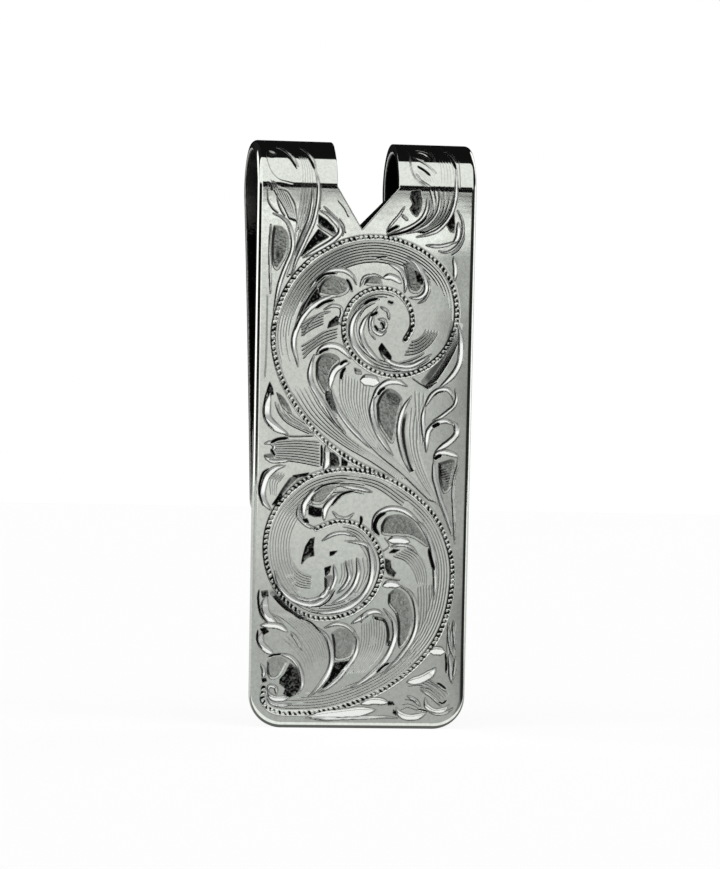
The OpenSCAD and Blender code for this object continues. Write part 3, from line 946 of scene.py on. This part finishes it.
tongue_tip_s = TONGUE_LEN - TONGUE_TIP_DROP / math.cos(TONGUE_LEAN)
tongue_rows, tongue_tip_row = leaf_rows(TONGUE_CORNER_R, TONGUE_CORNER_STEPS, tongue_tip_s,
                                        TONGUE_BODY_ROWS, TONGUE_LEN, TONGUE_ARM_ROWS)
tongue_grid = leaf_grid(tongue_rows, TONGUE_LEN, tongue_tip_s, TONGUE_END_W, TONGUE_CORNER_R,
                        TONGUE_CELL)
tongue_grid["depth"] = tongue_grid["drop"]
tongue_grid["tarnish"] = np.zeros_like(tongue_grid["x"])
tongue_grid["burnish_and_highlight"] = np.zeros_like(tongue_grid["x"])
# Painted shade: full on the tongue's inside faces. On its side walls it is nearly full, falling to
# under half near the bows.
tongue_grid["inner_dark"] = np.ones(len(tongue_rows))
tongue_grid["flank_dark"] = 0.95 - 0.5 * unit((tongue_rows - 29) / 4)
tongue = solid("plain_tongue", leaf_blocks(on_tongue, tongue_grid, tongue_tip_row))


# -------- node helpers
class Nodes:
    """Short ways to add and join shader nodes."""

    def __init__(self, owner):
        owner.use_nodes = True
        self.tree = owner.node_tree
        self.tree.nodes.clear()

    def add(self, kind, values, output=0, **settings):
        """Output of a new node of that kind. values feed its inputs, by name or by place."""
        node = self.tree.nodes.new("ShaderNode" + kind)
        for key, value in settings.items():
            setattr(node, key, value)
        for key, value in values.items():
            if isinstance(value, bpy.types.NodeSocket):
                self.tree.links.new(value, node.inputs[key])
            else:
                node.inputs[key].default_value = value
        return node.outputs[output] if node.outputs else None

    def place(self, kind):
        """The x, y and z of a texture coordinate."""
        way = self.add("TexCoord", {}, kind)
        return [self.add("SeparateXYZ", {"Vector": way}, axis) for axis in "XYZ"]

    def math(self, operation, *values):
        return self.add("Math", dict(enumerate(values)), operation=operation)

    def ramp(self, value, low, high, to_low=0, to_high=1, kind="LINEAR"):
        return self.add("MapRange", {"Value": value, "From Min": low, "From Max": high,
                                     "To Min": to_low, "To Max": to_high},
                        interpolation_type=kind)

    def lerp(self, share, a, b):
        """a where share is 0 and b where it is 1, for numbers."""
        return self.add("Mix", {0: share, 2: a, 3: b})

    def tint(self, share, a, b):
        """a where share is 0 and b where it is 1, for colours."""
        return self.add("Mix", {0: share, 6: a, 7: b}, 2, data_type="RGBA")

    def bands(self, value, level, steps):
        """The level, changed where the value passes each step of (from, to, new level)."""
        for low, high, new in steps:
            level = self.lerp(self.ramp(value, low, high), level, new)
        return level

    def noise(self, scale, detail=2, stretch=1, turn=0):
        """Noise over the object. stretch below 1 draws it out across the strip."""
        place = self.add("Mapping", {"Vector": self.add("TexCoord", {}, "Object"),
                                     "Scale": (stretch, 1, 1), "Rotation": (0, turn, 0)})
        return self.add("TexNoise", {"Vector": place, "Scale": scale, "Detail": detail}, "Fac")


# -------- silver
SILVER = (0.925, 0.97, 0.9, 1)
CLOUDED = (0.86, 0.89, 0.82, 1)
MOTTLED = (0.715, 0.748, 0.695, 1)
# Painted highlight: the brighter colour of burnished cuts, bead tops and lit hairline walls.
HIGHLIGHT_SILVER = (0.98, 1.0, 0.965, 1)
# Black of patina and of painted shade.
PATINA_AND_SHADE_BLACK = (0.006, 0.0065, 0.006, 1)


def silver(name, roughness, haze, scratch_depth):
    """Silver with cloudy wear, fine scratches, and the patina and painted shade, and the burnish and
    painted highlight, of its vertices.
    """
    material = bpy.data.materials.new(name)
    n = Nodes(material)
    tarnish, burnish_and_highlight = [n.add("Attribute", {}, "Fac", attribute_name=layer)
                       for layer in ("tarnish", "burnish_and_highlight")]
    clouds, mottle, speck = n.noise(90, 3), n.noise(3600), n.noise(5200)
    black = n.math("MULTIPLY", tarnish, n.ramp(speck, 0.3, 0.7, 1.0, 1.3))
    colour = n.tint(n.ramp(clouds, 0.4, 0.75), SILVER, CLOUDED)
    colour = n.tint(n.ramp(mottle, 0.35, 0.7, 0.0, 0.68), colour, MOTTLED)
    colour = n.tint(n.math("MINIMUM", black, 1.0), colour, PATINA_AND_SHADE_BLACK)
    # Burnished vertices get a painted highlight in their colour, and more roughness.
    colour = n.tint(burnish_and_highlight, colour, HIGHLIGHT_SILVER)
    rough = n.math("ADD", roughness, n.math("MULTIPLY", n.ramp(clouds, 0.35, 0.75), haze))
    rough = n.lerp(burnish_and_highlight, rough, 0.15)
    rough = n.lerp(tarnish, rough, 0.4)
    lines = n.noise(700, stretch=0.06)
    cross = n.noise(500, stretch=0.08, turn=0.7)
    grain = n.noise(9000, 1)
    height = n.math("ADD", n.math("MULTIPLY", lines, 0.6), n.math("MULTIPLY", cross, 0.25))
    height = n.math("ADD", height, n.math("MULTIPLY", grain, 0.1))
    bump = n.add("Bump", {"Strength": 1, "Distance": scratch_depth, "Height": height})
    shader = n.add("BsdfPrincipled", {"Metallic": 1, "Base Color": colour, "Roughness": rough,
                                      "Normal": bump})
    n.add("OutputMaterial", {"Surface": shader})
    return material


engraved_silver = silver("engraved_silver_finish", 0.035, 0.04, 0.0000022)
polished_silver = silver("polished_silver_finish", 0.08, 0.09, 0.000002)
plate.data.materials.append(engraved_silver)
for bow in bows:
    bow.data.materials.append(engraved_silver)
tongue.data.materials.append(polished_silver)

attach(plate, "front")
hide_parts("face_plate")
for bow, node in zip(bows, ("left_bow", "right_bow")):
    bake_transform(bow)
    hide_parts(node)
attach(tongue, "back")
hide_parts("spring_tongue")

# -------- camera
CAMERA_AZIMUTH = math.radians(-10.25)
CAMERA_ROLL = math.radians(1.15)
CAMERA_DISTANCE = 0.484
CAMERA_HEIGHT = 0.0292
AIM_ASIDE = 0.0005
aim_x = AIM_ASIDE * math.cos(CAMERA_AZIMUTH)
aim_y = AIM_ASIDE * math.sin(CAMERA_AZIMUTH)
camera_data = bpy.data.cameras.new("camera")
camera_data.lens = 200
camera_data.sensor_width = 36
camera_data.clip_start = 0.02
camera_data.clip_end = 20
camera = placed("camera", camera_data)
camera.location = (aim_x + CAMERA_DISTANCE * math.sin(CAMERA_AZIMUTH),
                   aim_y - CAMERA_DISTANCE * math.cos(CAMERA_AZIMUTH), CAMERA_HEIGHT)
camera.rotation_mode = "XYZ"
camera.rotation_euler = (math.radians(90), 0, CAMERA_AZIMUTH)
bpy.context.view_layer.update()
level_view = camera.matrix_world.to_3x3()
camera.rotation_euler = (level_view @ Matrix.Rotation(CAMERA_ROLL, 3, "Z")).to_euler()
bpy.context.scene.camera = camera

# -------- studio
# The face mirrors what lies this way from it. Angles are in degrees from there, or above the
# level. A step is where it starts and ends, and the light past it.
MIRROR_AZIMUTH = -math.degrees(CAMERA_AZIMUTH)
OVERHEAD = ((2.8, 2.88, 0.004), (13.5, 15, 0.86), (74, 75, 0.006))
RIGHT_RIM = ((70, 76, 1.1), (122, 128, 0.05))
LEFT_RIM = ((30, 34, 0.006), (84, 88, 1.4), (126, 130, 0.01))
# The same across and along the table, in metres or as shares of the distance. Along the table, a
# bright strip and then a painted contact shadow under the clip's front edge.
CARD_ASIDE = ((0.19, 0.205, 0.26),)
CARD_BESIDE = ((0.28, 0.36, 0.02), (1.7, 2.2, 1))
TABLE_DEPTH = ((-0.0092, -0.0078, 0.9), (-0.00478, -0.00466, 0.12), (-0.004, 0.01, 0.62))


def studio_world():
    """White to the camera. For reflections, a studio of soft boxes and black flags."""
    world = bpy.data.worlds.new("studio")
    n = Nodes(world)
    x, y, z = n.place("Generated")
    degree = math.degrees(1)
    toward = n.math("MULTIPLY", y, -1)
    height = n.math("MULTIPLY", n.math("ARCSINE", z), degree)
    azimuth = n.math("MULTIPLY", n.math("ARCTAN2", x, toward), degree)
    aside = n.math("SUBTRACT", azimuth, MIRROR_AZIMUTH)
    off = n.math("ABSOLUTE", aside)
    lateral = n.math("MULTIPLY", n.math("ARCSINE", x), degree)
    strip_side = n.math("SUBTRACT", lateral, MIRROR_AZIMUTH)
    lift = n.math("MULTIPLY", n.math("ARCTAN2", z, toward), degree)
    card = n.lerp(n.ramp(strip_side, 0.75, 1.2), n.ramp(strip_side, -1.3, 0.6, 0.67, 0.6), 0.26)
    card = n.math("ADD", card, n.ramp(lift, 1.2, 2.2, 0, 0.05))
    card = n.math("ADD", card, n.ramp(lift, 2.1, 2.5, 0, 0.55))
    over = n.bands(lift, card, OVERHEAD)
    rims = n.lerp(n.ramp(aside, -1, 1), n.bands(off, 1.05, LEFT_RIM),
                  n.bands(off, 0.02, RIGHT_RIM))
    box_right = n.ramp(lateral, 42, 48, 0.9, 0.01)
    box_left = n.ramp(lateral, -88, -82, 0.01, 1)
    above = n.lerp(n.ramp(strip_side, -1, 1), box_left, box_right)
    box_rear = n.math("MULTIPLY", n.ramp(off, 101, 107, 0, 1, "SMOOTHSTEP"),
                      n.ramp(off, 135, 141, 1, 0, "SMOOTHSTEP"))
    box_rear = n.math("MULTIPLY", box_rear, n.ramp(height, 38, 48, 1.3, 0))
    behind = n.math("ADD", box_rear, 0.015)
    above = n.bands(lift, above, ((74, 76, 0.01), (98, 102, behind)))
    beside = n.lerp(n.ramp(height, 8, 12), rims, above)
    right_flag = n.math("MULTIPLY", n.ramp(strip_side, 9, 11),
                        n.ramp(height, 6, 10, 1, 0))
    beyond = n.math("MAXIMUM", n.ramp(n.math("ABSOLUTE", strip_side), 17, 19), right_flag)
    light = n.lerp(beyond, over, beside)
    strength = n.lerp(n.add("LightPath", {}, "Is Camera Ray"), light, 1)
    sky = n.add("Background", {"Color": (1, 1, 1, 1), "Strength": strength})
    n.add("OutputWorld", {"Surface": sky})
    bpy.context.scene.world = world


def floor():
    """A plain pale table. For reflections only it glows with a painted pattern: darker in front, where
    a painted grey card lies, with a bright strip and a painted contact shadow under the clip's front
    edge.
    """
    mesh = bpy.data.meshes.new("floor")
    reach = 1.4
    corners = [(-reach, -reach, 0), (reach, -reach, 0), (reach, reach, 0), (-reach, reach, 0)]
    mesh.from_pydata(corners, [], [(0, 1, 2, 3)])
    table = placed("floor", mesh)
    material = bpy.data.materials.new("pale_table")
    n = Nodes(material)
    x, y, _ = n.place("Object")
    share = n.math("DIVIDE", x, n.math("SUBTRACT", 0.05, y))
    card = n.bands(share, n.ramp(share, 0.155, 0.19, 0.63, 0.57), CARD_ASIDE)
    card = n.math("MULTIPLY", card, n.ramp(y, -0.2, -0.8, 0.68, 1))
    grey = n.bands(y, n.bands(share, card, CARD_BESIDE), TABLE_DEPTH)
    mirrored = n.add("Emission", {"Strength": grey})
    shown = n.add("AddShader", {0: n.add("BsdfDiffuse", {"Color": (0.3, 0.3, 0.3, 1)}),
                                1: n.add("Emission", {"Strength": 0.86})})
    seen = n.add("LightPath", {}, "Is Camera Ray")
    n.add("OutputMaterial", {"Surface": n.add("MixShader", {0: seen, 1: mirrored, 2: shown})})
    mesh.materials.append(material)


studio_world()
floor()
bpy.context.scene.view_settings.view_transform = "Standard"
